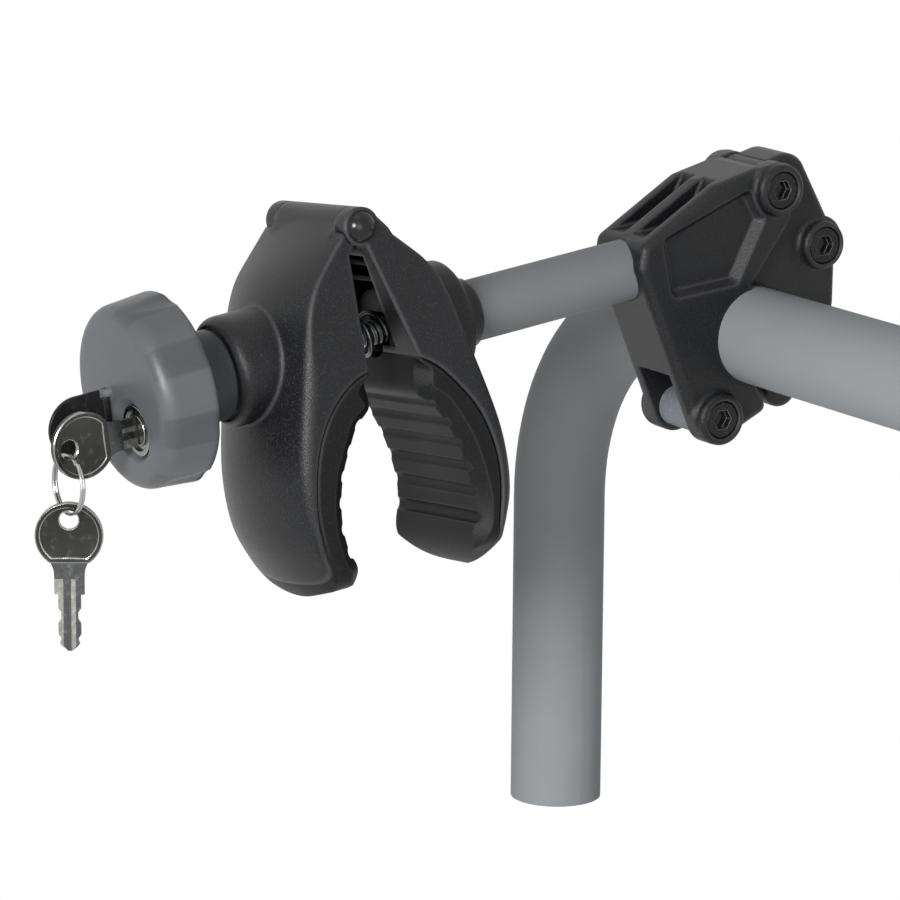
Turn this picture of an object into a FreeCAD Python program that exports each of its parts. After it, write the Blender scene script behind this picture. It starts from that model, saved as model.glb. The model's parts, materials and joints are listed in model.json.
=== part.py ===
import FreeCAD, Part
import math
import os

# Bike arm of a hitch carrier: a clamp on the carrier's hoop, a round arm, a hinged
# pair of jaws closed by a lockable knob, and the two keys on their ring.
# Millimetres. The origin is the centre of the hoop leg's cut lower end, Z up.
# The hoop's crossbar runs along +X and the arm reaches out towards -Y.

V = FreeCAD.Vector
os.makedirs("parts", exist_ok=True)

# Hoop
hoop_r = 16.0            # tube 32 mm outside
hoop_wall = 2.0
bar_z = 187.5            # crossbar axis above the cut end of the leg
bend_r = 77.8            # centreline radius of the corner
bar_end_x = 240.0        # where the crossbar is cut

# Arm
arm_x = 104.0            # plane of the arm's axis
arm_z = 29.8             # axis above the crossbar axis, over the bar
arm_tilt = 7.63          # degrees, sloping down towards the knob
arm_r = 10.0
arm_wall = 2.0

# Frame clamp, across the bar
clamp_x0 = 89.0
clamp_x1 = 118.0
strap_x0 = 93.5
strap_x1 = 113.5
clamp_round = 3.0        # rounding of the clamp's long outer edges
strap_round = 2.4
cheek_in = 5.0           # thickness of each cheek beside the strap's tongue
boss_out = 3.6           # screw bosses stand this far proud of the cheeks
boss_r = 8.6
screw_r = 4.0            # M8
head_r = 6.2
head_h = 4.2
grip_gap = 0.12          # clamp bore over the hoop tube, radial
fit = 0.08               # running clearance of shafts in their holes, radial

# Jaws: u is measured from the hinge pin towards the knob, d down, w along the pin
pin_s = 151.5            # pin axis, along the arm from the clamp
pin_h = 39.3             # pin axis above the arm axis
jaw_roll = 6.5           # degrees, the jaws sit turned about the arm
pin_r = 3.0
knuckle_r = 6.1
knuckle_w = 19.0         # half width of the outer jaw's knuckle
knuckle_end = 25.2
jaw_w = 28.4             # half width of both jaws
jaw_wall = 3.0
ridge_in = 4.0           # the ridge between side and back lies this far in from the side
outer_up = 5.0           # and the sides are flat up to this far below it
inner_up = 4.0
outer_dome = 4.6         # crown of the back between the two ridges
inner_dome = 4.6
outer_tip = 113.0        # lowest point of each jaw below the pin
inner_tip = 117.5
tooth_r = 2.1
bevel = 4.3              # the liners' lands are bevelled to both sides by this much

# Draw bolt and knob
bolt_up = 1.5            # bolt axis above the arm axis
bolt_r = 4.0             # M8, 4 mm lead
trunnion_u = -24.0
trunnion_r = 6.0
trunnion_w = 12.0
seat_u = 45.0            # where the collar presses on the outer jaw
cup_r = 17.6
cup_front = 46.2
cup_round = 4.5
rim_r = 15.4             # opening of the cup round the collar
collar_r = 14.4
knob_r = 30.4
knob_u0 = 61.3
knob_u1 = 80.0
knob_taper = 1.6         # the drum narrows by this much towards its front
lobes = 8
scoop_depth = 1.3
scoop_r = 14.0
lock_x = 7.2
lock_z = -8.7
lock_r = 6.0
bezel_r = 8.0
key_r = 10.5
key_t = 2.0
ring_r = 9.2
ring_wire = 0.9
spring_r = 6.7
spring_wire = 0.8
spring_room = spring_r + spring_wire + 0.5
spring_turns = 6.5
spring_y0 = 12.7         # ends of the spring's centreline along the bolt
spring_y1 = -29.0


def box(x0, x1, y0, y1, z0, z1):
    return Part.makeBox(x1 - x0, y1 - y0, z1 - z0, V(x0, y0, z0))


def rod(r, p, q):
    p = V(*p)
    q = V(*q)
    return Part.makeCylinder(r, (q - p).Length, p, q - p)


def ring(r_out, r_in, p, q):
    return rod(r_out, p, q).cut(rod(r_in, p, q))


def face(points, at):
    return Part.Face(Part.makePolygon([at(*p) for p in points + points[:1]]))


# an outline whose straight runs are lists and whose smooth runs are tuples of points
def outline(runs, at):
    edges = []
    last = at(*runs[-1][-1])
    for run in runs:
        points = [at(*p) for p in run]
        if (points[0] - last).Length > 0.001:
            edges.append(Part.makeLine(last, points[0]))
        if isinstance(run, tuple):
            curve = Part.BSplineCurve()
            curve.interpolate(points)
            edges.append(curve.toShape())
        else:
            edges += [Part.makeLine(p, q) for p, q in zip(points, points[1:])]
        last = points[-1]
    return Part.Wire(edges)


# a belt drawn round circles (a, b, r), anticlockwise; a radius of 0 gives a corner
def belt(circles, at):
    count = len(circles)
    lean = []
    for i in range(count):
        a0, b0, r0 = circles[i]
        a1, b1, r1 = circles[(i + 1) % count]
        span = math.hypot(a1 - a0, b1 - b0)
        lean.append(math.atan2(b1 - b0, a1 - a0) - math.asin((r1 - r0) / span))

    def touch(circle, angle):
        a, b, r = circle
        return at(a + r * math.sin(angle), b - r * math.cos(angle))

    edges = []
    for i in range(count):
        before, after = lean[i - 1], lean[i]
        turn = (after - before) % (2 * math.pi)
        if circles[i][2] > 0:
            edges.append(Part.Arc(touch(circles[i], before), touch(circles[i], before + turn / 2),
                                  touch(circles[i], after)).toShape())
        edges.append(Part.makeLine(touch(circles[i], after), touch(circles[(i + 1) % count], after)))
    return Part.Wire(edges)


def soften(shape, radius, keep):
    for size in (radius, radius * 0.6):
        edges = [e for e in shape.Edges if keep(e)]
        if not edges:
            return shape
        try:
            done = shape.makeFillet(size, edges)
            if done.isValid() and done.Volume > 0:
                return done
        except Exception:
            pass
    print("no rounding of", radius)
    return shape


# joined faces made one again, where that leaves a sound solid
def merged(shape):
    for done in (shape.removeSplitter().copy(), shape.copy()):
        if done.isValid():
            return done
    return shape


def save(name, shape, place=None):
    shape = shape.copy()
    if shape.ShapeType == "Compound" and len(shape.Solids) == 1:
        shape = shape.Solids[0]
    if place is not None:
        shape.Placement = place.multiply(shape.Placement)
    box_ = shape.BoundBox
    print(name, len(shape.Solids), shape.isValid(), round(shape.Volume),
          [round(v, 1) for v in (box_.XMin, box_.XMax, box_.YMin, box_.YMax, box_.ZMin, box_.ZMax)])
    shape.exportStep("parts/" + name + ".step")


# The arm's frame has y pointing back up the arm from the knob; the jaws' frame has its
# origin on the hinge pin; the knob's frame lies on the draw bolt, not rolled.
X = V(1, 0, 0)
Y = V(0, 1, 0)
arm_at = FreeCAD.Placement(V(arm_x, 0, bar_z + arm_z), FreeCAD.Rotation(X, arm_tilt))
roll = FreeCAD.Placement(V(0, 0, 0), FreeCAD.Rotation(Y, -jaw_roll))
jaw_at = arm_at.multiply(roll).multiply(
    FreeCAD.Placement(V(0, -pin_s, pin_h), FreeCAD.Rotation()))
bolt_z = bolt_up - pin_h
knob_at = jaw_at.multiply(FreeCAD.Placement(V(0, 0, bolt_z), FreeCAD.Rotation(Y, jaw_roll)))

# Hoop: one bent tube, leg, corner and crossbar
def hoop_rod(r):
    leg = rod(r, (0, 0, 0), (0, 0, bar_z - bend_r))
    disc = Part.Face(Part.Wire(Part.makeCircle(r, V(0, 0, bar_z - bend_r), V(0, 0, 1))))
    corner = disc.revolve(V(bend_r, 0, bar_z - bend_r), V(0, 1, 0), 90)
    bar = rod(r, (bend_r, 0, bar_z), (bar_end_x, 0, bar_z))
    return merged(leg.fuse(corner).fuse(bar))


save("hoop_tube", hoop_rod(hoop_r).cut(hoop_rod(hoop_r - hoop_wall)))

# Frame clamp body: outlines are written across the bar, y out and z up from its axis
def across(x):
    return lambda y, z: V(x, y, bar_z + z)


def plate(points, x0, x1):
    return face(points, across(x0)).extrude(V(x1 - x0, 0, 0))


def bar_rod(y, z, r, x0, x1):
    return rod(r, (x0, y, bar_z + z), (x1, y, bar_z + z))


hinge_yz = (6.1, 48.3)
strap_yz = (26.7, 27.6)
foot_yz = (-15.9, -25.9)
body_circles = [(hinge_yz[0], hinge_yz[1], 8.9), (-15.0, 46.8, 5.0), (-42.0, 31.0, 4.2), (-43.0, 26.0, 4.0),
                (foot_yz[0], foot_yz[1], 8.7), (1.0, -23.5, 3.4)]
body_parting = [(60, 40.3), (13.6, 40.3), (-3.4, 17.2), (-1.0, 0.0), (-2.0, -14.0), (5.2, -26.9), (5.2, -60),
                (60, -60)]
hull = Part.Face(belt(body_circles, across(clamp_x0))).extrude(V(clamp_x1 - clamp_x0, 0, 0))
body = soften(hull, clamp_round, lambda e: e.BoundBox.XLength < 0.01)
body = body.cut(plate(body_parting, clamp_x0 - 1, clamp_x1 + 1))


# a screw boss with a rounded foot and a rounded rim, turned about the screw's axis
def boss(yz, radius, face_x, out, sign):
    foot = 1.5
    top = 1.3
    at = lambda r, h: V(face_x + sign * h, yz[0] + r, bar_z + yz[1])
    wide = radius + foot
    edges = [Part.makeLine(at(0, -4), at(wide, -4)), Part.makeLine(at(wide, -4), at(wide, 0)),
             Part.Arc(at(wide, 0), at(radius + foot * 0.293, foot * 0.293), at(radius, foot)).toShape(),
             Part.makeLine(at(radius, foot), at(radius, out - top)),
             Part.Arc(at(radius, out - top), at(radius - top * 0.293, out - top * 0.293),
                      at(radius - top, out)).toShape(),
             Part.makeLine(at(radius - top, out), at(0, out)), Part.makeLine(at(0, out), at(0, -4))]
    return Part.Face(Part.Wire(edges)).revolve(V(face_x, yz[0], bar_z + yz[1]), V(1, 0, 0), 360)


reach = Part.Face(belt(body_circles, across(clamp_x0 - 9))).extrude(V(clamp_x1 - clamp_x0 + 18, 0, 0))
for yz in (hinge_yz, foot_yz):
    for face_x, sign in ((clamp_x1, 1), (clamp_x0, -1)):
        body = body.fuse(boss(yz, boss_r, face_x, boss_out, sign).common(reach))
# pocket with rounded corners and sloping sides in both cheeks
pocket = [(-5.6, 45.8), (-35.4, 33.6), (-32.0, 18.4), (-10.6, 20.6), (-1.4, 38.6)]
pocket_r = 3.0
pocket_slope = 2.4
for outside, inward in ((clamp_x1, -1), (clamp_x0, 1)):
    mouth = belt([(y, z, pocket_r) for y, z in pocket], across(outside + inward * -0.02))
    bottom = belt([(y, z, pocket_r - pocket_slope) for y, z in pocket], across(outside + inward * 3.0))
    body = body.cut(Part.makeLoft([mouth, bottom], True, True))
# two long channels in the top leave three ribs; they run out over the nose above the arm
channel = [(-60.0, 1.2), (-22.5, 1.2), (-19.5, 2.8), (-11.0, 14.5), (-11.0, 40.0), (-60.0, 40.0)]
for x0, x1 in ((-10.0, -2.6), (1.6, 9.0)):
    trough = face(channel, lambda y, z: V(x0, y, arm_r + z)).extrude(V(x1 - x0, 0, 0))
    trough.Placement = arm_at
    body = body.cut(trough)
# ears for the spacer, the tongue slot at the hinge and the saddle over the bar
body = body.cut(plate([(-34, -10.5), (-22, -12.5), (-10.8, -15.5), (-7.0, -19.5), (-9.0, -36),
                       (-40, -36)], clamp_x0 + cheek_in, clamp_x1 - cheek_in))
body = body.cut(bar_rod(hinge_yz[0], hinge_yz[1], 9.6, clamp_x0 + cheek_in - 0.3,
                        clamp_x1 - cheek_in + 0.3))
body = body.cut(bar_rod(0, 0, hoop_r + grip_gap, clamp_x0 - 5, clamp_x1 + 5))
# socket for the arm with a thin rim round the tube
socket_s = (4.0, 44.5)
rim = ring(arm_r + 1.7, arm_r - 1, (0, -socket_s[1] + 8, 0), (0, -socket_s[1], 0))
rim.Placement = arm_at
rim = rim.common(hull)
bore = rod(arm_r + 0.02, (0, -60, 0), (0, -socket_s[0], 0))
bore.Placement = arm_at
body = body.fuse(rim).cut(bore)
for y, z in (hinge_yz, foot_yz):
    body = body.cut(bar_rod(y, z, screw_r + fit, clamp_x0 - 9, clamp_x1 + 9))
    body = body.cut(bar_rod(y, z, head_r + 0.15, clamp_x1 + boss_out - head_h - 0.4, clamp_x1 + 9))
    body = body.cut(bar_rod(y, z, head_r + 0.9, clamp_x0 - 9, clamp_x0 - boss_out + 4.6))
body = merged(body)
save("clamp_body", body)

# Strap: the half that swings on the hinge screw and hugs the bar from behind
strap_circles = [(13.5, 50.5, 8.2), (hinge_yz[0], hinge_yz[1], 8.4), (3.0, 18.0, 4.0), (13.5, -20.0, 6.4),
                 (24.5, 8.0, 9.6), (26.3, 27.6, 8.0)]
strap_parting = [(6.1, 70), (6.1, 56.4), (15.9, 41.0), (-0.6, 18.0), (2.0, 0.0), (2.0, -12.0), (8.9, -26.9),
                 (8.9, -60), (-60, -60), (-60, 70)]
strap = Part.Face(belt(strap_circles, across(strap_x0))).extrude(V(strap_x1 - strap_x0, 0, 0))
strap = soften(strap, strap_round, lambda e: e.BoundBox.XLength < 0.01)
strap = strap.cut(plate(strap_parting, strap_x0 - 1, strap_x1 + 1))
# the bore is eased so that the strap swings off the tube without rubbing
for swing in (0, 2, 4, 6, 8, 10, 12):
    a = math.radians(swing)
    y = hinge_yz[0] - hinge_yz[0] * math.cos(a) - hinge_yz[1] * math.sin(a)
    z = hinge_yz[1] + hinge_yz[0] * math.sin(a) - hinge_yz[1] * math.cos(a)
    strap = strap.cut(bar_rod(y, z, hoop_r + grip_gap, clamp_x0 - 5, clamp_x1 + 5))
tongue_x0 = clamp_x0 + cheek_in
tongue_x1 = clamp_x1 - cheek_in
for x0, x1 in ((tongue_x1, strap_x1 + 3), (strap_x0 - 3, tongue_x0)):
    strap = strap.cut(bar_rod(hinge_yz[0], hinge_yz[1], boss_r + 1.3, x0, x1))
strap = strap.fuse(bar_rod(hinge_yz[0], hinge_yz[1], 8.4, tongue_x0, tongue_x1))
for face_x, sign in ((strap_x1, 1), (strap_x0, -1)):
    strap = strap.fuse(boss(strap_yz, 8.0, face_x, 4.0, sign))
strap = strap.cut(bar_rod(hinge_yz[0], hinge_yz[1], screw_r + fit, clamp_x0, clamp_x1))
strap = strap.cut(bar_rod(strap_yz[0], strap_yz[1], screw_r + fit, clamp_x0 - 9, clamp_x1 + 9))
strap = strap.cut(bar_rod(strap_yz[0], strap_yz[1], head_r + 0.15, strap_x1 + 4.0 - head_h - 0.4,
                          strap_x1 + 9))
strap = strap.cut(bar_rod(strap_yz[0], strap_yz[1], head_r + 0.9, strap_x0 - 9, strap_x0 - 4.0 + 4.6))
strap = merged(strap)
save("clamp_strap", strap)


# Three black M8 socket screws and their nuts, sunk in the bosses
def hexagon(x, y, z, across_flats, length):
    r = across_flats / math.sqrt(3)
    points = [(y + r * math.cos(math.radians(60 * i)), z + r * math.sin(math.radians(60 * i)))
              for i in range(6)]
    return plate(points, x, x + length)


def screw(yz, seat_x, tip_x):
    shank = bar_rod(yz[0], yz[1], screw_r, tip_x, seat_x + 0.1)
    head = bar_rod(yz[0], yz[1], head_r, seat_x, seat_x + head_h)
    head = soften(head, 0.8, lambda e: e.BoundBox.XLength < 0.01
                  and e.BoundBox.XMin > seat_x + head_h - 0.1)
    return shank.fuse(head).cut(hexagon(seat_x + 1.6, yz[0], yz[1], 6.0, 5))


def nut(yz, x0, x1):
    return hexagon(x0, yz[0], yz[1], 11.8, x1 - x0).cut(bar_rod(yz[0], yz[1], screw_r + 0.01, x0 - 1, x1 + 1))


head_seat = clamp_x1 + boss_out - head_h - 0.4
nut_floor = clamp_x0 - boss_out + 4.6
for name, yz in (("hinge", hinge_yz), ("spacer", foot_yz)):
    save(name + "_screw", screw(yz, head_seat, nut_floor - 4.4))
    save(name + "_nut", nut(yz, nut_floor - 4.0, nut_floor))
strap_seat = strap_x1 + 4.0 - head_h - 0.4
save("strap_screw", screw(strap_yz, strap_seat, strap_x0 - 4.0 + 0.2))
save("strap_nut", nut(strap_yz, strap_x0 + 0.6 - 4.0, strap_x0 + 0.6))

# Grey spacer barrel between the ears of the clamp body
save("spacer_barrel", ring(6.7, screw_r + fit, (clamp_x0 + cheek_in + 0.1, foot_yz[0], bar_z + foot_yz[1]),
                           (clamp_x1 - cheek_in - 0.1, foot_yz[0], bar_z + foot_yz[1])))

# Arm tube, its end plug and the sleeve on which the jaws turn
plug_y = -pin_s + 36.0
tube = ring(arm_r, arm_r - arm_wall, (0, plug_y, 0), (0, -socket_s[0], 0))
save("arm_tube", tube, arm_at)
plug = rod(arm_r - arm_wall - 0.01, (0, plug_y - 0.1, 0), (0, plug_y + 16, 0))
plug = plug.fuse(rod(11.8, (0, plug_y - 3.3, 0), (0, plug_y, 0)))
save("arm_plug", plug, arm_at)
sleeve = ring(12.35, arm_r + fit, (0, plug_y + 0.1, 0), (0, plug_y + 2.6, 0))
sleeve = sleeve.fuse(ring(11.3, arm_r + fit, (0, plug_y + 2.5, 0), (0, plug_y + 10, 0)))
sleeve = soften(sleeve, 0.8, lambda e: e.BoundBox.YLength < 0.01 and e.BoundBox.YMin > plug_y + 9.9
                and e.BoundBox.XLength > 22)
save("arm_sleeve", sleeve, arm_at)


# Jaws. side(u, d) writes a point of their side outline, in the plane of half width w
def side(w):
    return lambda u, d: V(w, -u, -d)


def jaw_plate(points, w):
    return face(points, side(-w)).extrude(V(2 * w, 0, 0))


def jaw_prism(runs, w):
    return Part.Face(outline(runs, side(-w))).extrude(V(2 * w, 0, 0))


# the ridge between side and back, seen from the side
ridge_line = [(-3.0, 3.4), (1.5, 7.2), (6.0, 11.8), (11.0, 16.8), (18.0, 22.4), (26.0, 26.0), (34.0, 28.4),
              (42.0, 30.4), (50.0, 32.4), (60.0, 34.8), (70.0, 36.8), (78.0, 37.6), (85.0, 37.6), (92.0, 36.8),
              (98.0, 35.0), (104.0, 32.4), (110.0, 28.8), (120.0, 22.0)]


# the back: sections across the jaw, each with flat sides, rounded ridges and a low crown
def domed(sign, crown, half, inset, line):
    wires = []
    in_ = ridge_in - min(inset, 1.5)
    up = (outer_up if sign > 0 else inner_up) - min(inset, 1.5)
    for d, u in line:
        ridge = max(u - inset, 0.9)
        top = ridge + min(crown, 0.25 * ridge + 0.6)
        p = [(-half, -12.0), (-half, ridge - up), (-half + in_ * 0.28, ridge - up * 0.36),
             (-half + in_, ridge), (0, top), (half - in_, ridge), (half - in_ * 0.28, ridge - up * 0.36), (half, ridge - up),
             (half, -12.0)]
        q = [V(w, -sign * v, -d) for w, v in p]
        wires.append(Part.Wire([Part.makeLine(q[0], q[1]), Part.Arc(q[1], q[2], q[3]).toShape(),
                                Part.Arc(q[3], q[4], q[5]).toShape(), Part.Arc(q[5], q[6], q[7]).toShape(),
                                Part.makeLine(q[7], q[8]), Part.makeLine(q[8], q[0])]))
    return Part.makeLoft(wires, True)


# the shield shape of both jaws seen along the arm, its corners and its low edge rounded
def shield(half, trim, tip, bow):
    top = knuckle_end - 0.1 - trim
    corner = 9.0
    low = 101.0
    circles = [(top, 8, 0), (-top, 8, 0), (-top, -6, 0), (trim - half, -44, 0),
               (corner - half, -low, corner - trim), (0, bow - tip, bow - trim),
               (half - corner, -low, corner - trim), (half - trim, -44, 0), (top, -6, 0)]
    return Part.Face(belt(circles, lambda w, z: V(w, -70, z))).extrude(V(0, 140, 0))


# Outer jaw: domed shell, hollow above the liner, with the cup that the collar presses on
outer_seam = ((8.2, 44.0), (15.0, 46.5), (21.5, 51.6), (26.8, 58.4), (30.6, 66.7), (32.9, 75.5), (34.1, 86.0),
              (33.7, 92.5), (32.9, 98.0), (31.8, 102.8), (32.4, 106.2), (36.0, 107.9), (44.0, 108.6))
outer_front = [(4.0, 5.6), (6.1, 8.0)]
jaw = domed(1, outer_dome, jaw_w, 0.0, ridge_line).common(shield(jaw_w + 0.1, 0.0, outer_tip, 50))
free_side = jaw_prism([outer_front, outer_seam, [(60, 109.0), (60, 130), (-60, 130), (-60, -20), (-1, -20),
                                                 (0.0, -4.0)]], 40)
jaw = jaw.cut(free_side)
hollow = domed(1, outer_dome, jaw_w - jaw_wall, jaw_wall, ridge_line)
hollow = hollow.common(shield(jaw_w + 0.1, jaw_wall, outer_tip, 50))
keep_out = [(-60, 10.0), (60, 10.0), (60, -30), (-60, -30)]
hollow = hollow.cut(jaw_plate(keep_out, 40))
behind = [(u + 2.6 * (0.3 + 0.7 * min(1, (d - 40) / 30)), d - 2.6 * (1 - min(1, (d - 40) / 34)))
          for u, d in outer_seam[:-4]]
hollow = hollow.cut(jaw_plate([(-60, 40.6)] + behind + [(36, 104.0), (60, 105.0), (60, 130), (-60, 130)], 40))
jaw = jaw.cut(hollow)
for d in (17.0, 24.0, 60.0, 78.0):
    reach = 12.0 if d < 50 else 28.0
    rib = box(-jaw_w + 1, jaw_w - 1, -60, -reach, -d - 1.0, -d + 1.0)
    jaw = jaw.fuse(rib.common(domed(1, outer_dome, jaw_w - 1, 1.0, ridge_line)).common(
        shield(jaw_w, 1.0, outer_tip, 50)))
jaw = jaw.cut(free_side)
# boss and cup round the draw bolt
cup = rod(cup_r, (0, -cup_front, bolt_z), (0, -24.0, bolt_z))
cup = soften(cup, cup_round, lambda e: e.BoundBox.YLength < 0.01 and e.BoundBox.YMin < -cup_front + 0.1)
guide = rod(10.4, (0, -33.0, bolt_z), (0, -30.5, bolt_z))
inside = hollow.cut(rod(10.4, (0, -34, bolt_z), (0, -30.5, bolt_z)))
jaw = jaw.fuse(cup.cut(inside)).fuse(guide)
jaw = jaw.cut(rod(rim_r, (0, -60, bolt_z), (0, -43.8, bolt_z)))
jaw = jaw.cut(ring(rim_r, 10.4, (0, -60, bolt_z), (0, -42.6, bolt_z)))
jaw = jaw.cut(rod(6.4, (0, -60, bolt_z), (0, 20, bolt_z)))
jaw = jaw.cut(rod(spring_room, (0, spring_y1 - 1.3, bolt_z), (0, 20, bolt_z)))
jaw = jaw.cut(rod(6.4, (0, -60, bolt_z - 1.2), (0, -20, bolt_z - 1.2)))
# knuckle on the pin
web = jaw_plate([(0, -6.0), (3.6, -4.6), (9.0, 2.0), (12.0, 8.0), (6.1, 9.0), (2.6, 5.4)], knuckle_w)
jaw = jaw.fuse(web).fuse(rod(knuckle_r, (-knuckle_w, 0, 0), (knuckle_w, 0, 0)))
for w0, w1 in ((knuckle_w + 0.2, 40), (-40, -knuckle_w - 0.2)):
    jaw = jaw.cut(rod(knuckle_r + 0.5, (w0, 0, 0), (w1, 0, 0)))
jaw = jaw.cut(rod(pin_r + fit, (-40, 0, 0), (40, 0, 0)))
outer_jaw = jaw
save("outer_jaw", outer_jaw, jaw_at)

# Inner jaw: the same shield, its hollow narrowing to a window in a broad front face
inner_seam = ((-10.8, 43.7), (-17.3, 48.2), (-23.3, 55.4), (-28.4, 63.4), (-31.6, 72.3), (-33.0, 82.3),
              (-32.2, 91.9), (-30.4, 99.4), (-29.2, 105.0), (-29.8, 109.6), (-33.0, 112.8), (-44.0, 114.2))
inner_front = [(-0.9, 7.4)]
jaw = domed(-1, inner_dome, jaw_w, 0.0, ridge_line).common(shield(jaw_w, 0.0, inner_tip, 34))
free_side = jaw_prism([inner_front, inner_seam, [(-60, 115.0), (-60, 130), (60, 130), (60, -20), (1, -20),
                                                 (0.4, -4.0)]], 40)
jaw = jaw.cut(free_side)
hollow = domed(-1, inner_dome, jaw_w - jaw_wall, jaw_wall, ridge_line)
hollow = hollow.common(shield(jaw_w, jaw_wall, inner_tip, 34)).cut(jaw_plate(keep_out, 40))
behind = [(u - 2.6 * (0.3 + 0.7 * min(1, (d - 40) / 30)), d - 2.6 * (1 - min(1, (d - 40) / 34)))
          for u, d in inner_seam[:-4]]
hollow = hollow.cut(jaw_plate([(60, 40.6)] + behind + [(-36, 108.0), (-60, 109.0), (-60, 130), (60, 130)], 40))
window = Part.Face(Part.makePolygon([V(w, -70, -d) for w, d in
                                     ((-20, 9), (20, 9), (15, 44), (15, 110), (-15, 110), (-15, 44), (-20, 9))]))
hollow = hollow.common(window.extrude(V(0, 140, 0)))
jaw = jaw.cut(hollow)
for d in (15.5, 20.5):
    rib = box(-20, 20, 12.0, 60, -d - 0.8, -d + 0.8)
    jaw = jaw.fuse(rib.common(domed(-1, inner_dome, jaw_w - 1, 1.0, ridge_line)))
# core for the trunnion and boss for the arm sleeve
arm_boss = rod(18.9, (0, 27.0, -pin_h), (0, 38.5, -pin_h))
arm_boss = soften(arm_boss, 1.6, lambda e: e.BoundBox.YLength < 0.01 and e.BoundBox.YMin > 38)
core = rod(13.4, (0, 14.0, bolt_z), (0, 32.0, bolt_z))
jaw = jaw.fuse(arm_boss.cut(hollow.common(box(-40, 40, 0, 28, -120, 20)))).fuse(core)
jaw = jaw.cut(free_side).cut(rod(spring_room, (0, -20, bolt_z), (0, spring_y0 + 1.2, bolt_z)))
jaw = jaw.cut(rod(12.4, (0, 31.6, -pin_h), (0, 60, -pin_h)))
jaw = jaw.cut(rod(trunnion_r + fit, (-40, -trunnion_u, bolt_z), (40, -trunnion_u, bolt_z)).common(
    box(-trunnion_w - 0.3, trunnion_w + 0.3, 0, 60, -60, -20)))
swing = Part.Face(Part.makePolygon([V(-5.0, y, -d) for y, d in
                                    ((24, 33.2), (13, 31.6), (8, 31.0), (8, 48.0), (13, 46.2), (24, 42.4),
                                     (24, 33.2))])).extrude(V(10.0, 0, 0))
jaw = jaw.cut(swing)
# knuckles at the ends of the pin
for w0, w1 in ((knuckle_w + 0.3, knuckle_end), (-knuckle_end, -knuckle_w - 0.3)):
    web = face([(0, -6.0), (-3.6, -4.6), (-9.0, 2.0), (-12.0, 8.0), (-2.0, 8.0), (-1.0, 5.6)],
               side(w0)).extrude(V(w1 - w0, 0, 0))
    jaw = jaw.fuse(web).fuse(rod(knuckle_r, (w0, 0, 0), (w1, 0, 0)))
jaw = jaw.cut(rod(knuckle_r + 0.5, (-knuckle_w - 0.3, 0, 0), (knuckle_w + 0.3, 0, 0)))
jaw = jaw.cut(rod(pin_r + 0.01, (-40, 0, 0), (40, 0, 0)))
inner_jaw = merged(jaw)
save("inner_jaw", inner_jaw, jaw_at)


# a run of side points moved square to itself
def moved(run, by):
    out = []
    for i, (u, d) in enumerate(run):
        p, q = run[max(i - 1, 0)], run[min(i + 1, len(run) - 1)]
        length = math.hypot(q[0] - p[0], q[1] - p[1])
        out.append((u - by * (q[1] - p[1]) / length, d + by * (q[0] - p[0]) / length))
    return tuple(out)


# Liners: soft pads, bevelled to the sides, with round cross grooves and a lobe under the tip
def liner(seam, land, grooves, tip, bow, sign):
    sections = []
    for w, land_in, seam_in in ((-1, bevel, 1.0), (-0.965, bevel - 1.0, 0), (-0.85, 0, 0), (0.85, 0, 0),
                                (0.965, bevel - 1.0, 0), (1, bevel, 1.0)):
        runs = [moved(seam, sign * seam_in), [(sign * 48.0, tip + 6), (sign * 34.0, tip + 6)],
                moved(land, sign * land_in)]
        sections.append(outline(runs, side(w * (jaw_w - 0.1))))
    shape = Part.makeLoft(sections, True, True)
    for u, d in grooves:
        shape = shape.cut(rod(tooth_r, (-40, -u, -d), (40, -u, -d)))
    shape = shape.cut(rod(spring_room, (0, -40, bolt_z), (0, 40, bolt_z)))
    shape = shape.common(domed(sign, outer_dome if sign > 0 else inner_dome, jaw_w, 0.0, ridge_line))
    return shape.common(shield(jaw_w, 0.0, tip, bow))


outer_land = ((31.0, 113.6), (26.6, 111.4), (23.0, 107.8), (21.2, 104.4), (21.6, 101.8), (22.7, 99.4),
              (23.4, 96.0), (23.8, 91.0), (23.4, 85.6), (22.0, 78.7), (19.4, 71.6), (15.8, 65.0), (12.0, 59.6),
              (7.6, 55.6), (7.6, 52.0), (8.0, 48.0))
outer_grooves = [(11.9, 60.6), (16.2, 67.6), (20.0, 75.0), (22.2, 82.8), (22.9, 91.0), (22.2, 98.6)]
inner_land = ((-31.0, 118.0), (-26.0, 116.0), (-22.4, 112.0), (-20.9, 107.6), (-21.2, 104.0), (-22.2, 101.0),
              (-23.4, 96.5), (-23.9, 91.5), (-23.5, 85.6), (-22.3, 78.0), (-20.2, 71.0), (-17.0, 64.0),
              (-12.9, 58.6), (-10.0, 55.6), (-9.6, 52.0), (-10.2, 47.6))
inner_grooves = [(-13.5, 60.6), (-17.6, 67.2), (-20.2, 74.6), (-22.2, 82.4), (-23.0, 90.5), (-22.4, 98.6)]
save("outer_liner", liner(outer_seam, outer_land, outer_grooves, outer_tip, 50, 1), jaw_at)
save("inner_liner", liner(inner_seam, inner_land, inner_grooves, inner_tip, 34, -1), jaw_at)

# Hinge pin: glossy domed head in front, a push-on cap behind
pin = rod(pin_r, (-knuckle_end - 1.6, 0, 0), (knuckle_end + 0.2, 0, 0))
dome = Part.makeSphere(5.6, V(knuckle_end - 2.5, 0, 0)).common(
    box(knuckle_end + 0.05, knuckle_end + 6, -9, 9, -9, 9))
save("hinge_pin", pin.fuse(dome), jaw_at)
cap = Part.makeSphere(5.6, V(-knuckle_end + 2.5, 0, 0)).common(
    box(-knuckle_end - 6, -knuckle_end - 0.05, -9, 9, -9, 9))
cap = cap.cut(rod(pin_r + 0.01, (-knuckle_end - 1.6, 0, 0), (knuckle_end, 0, 0)))
save("pin_cap", cap, jaw_at)

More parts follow.
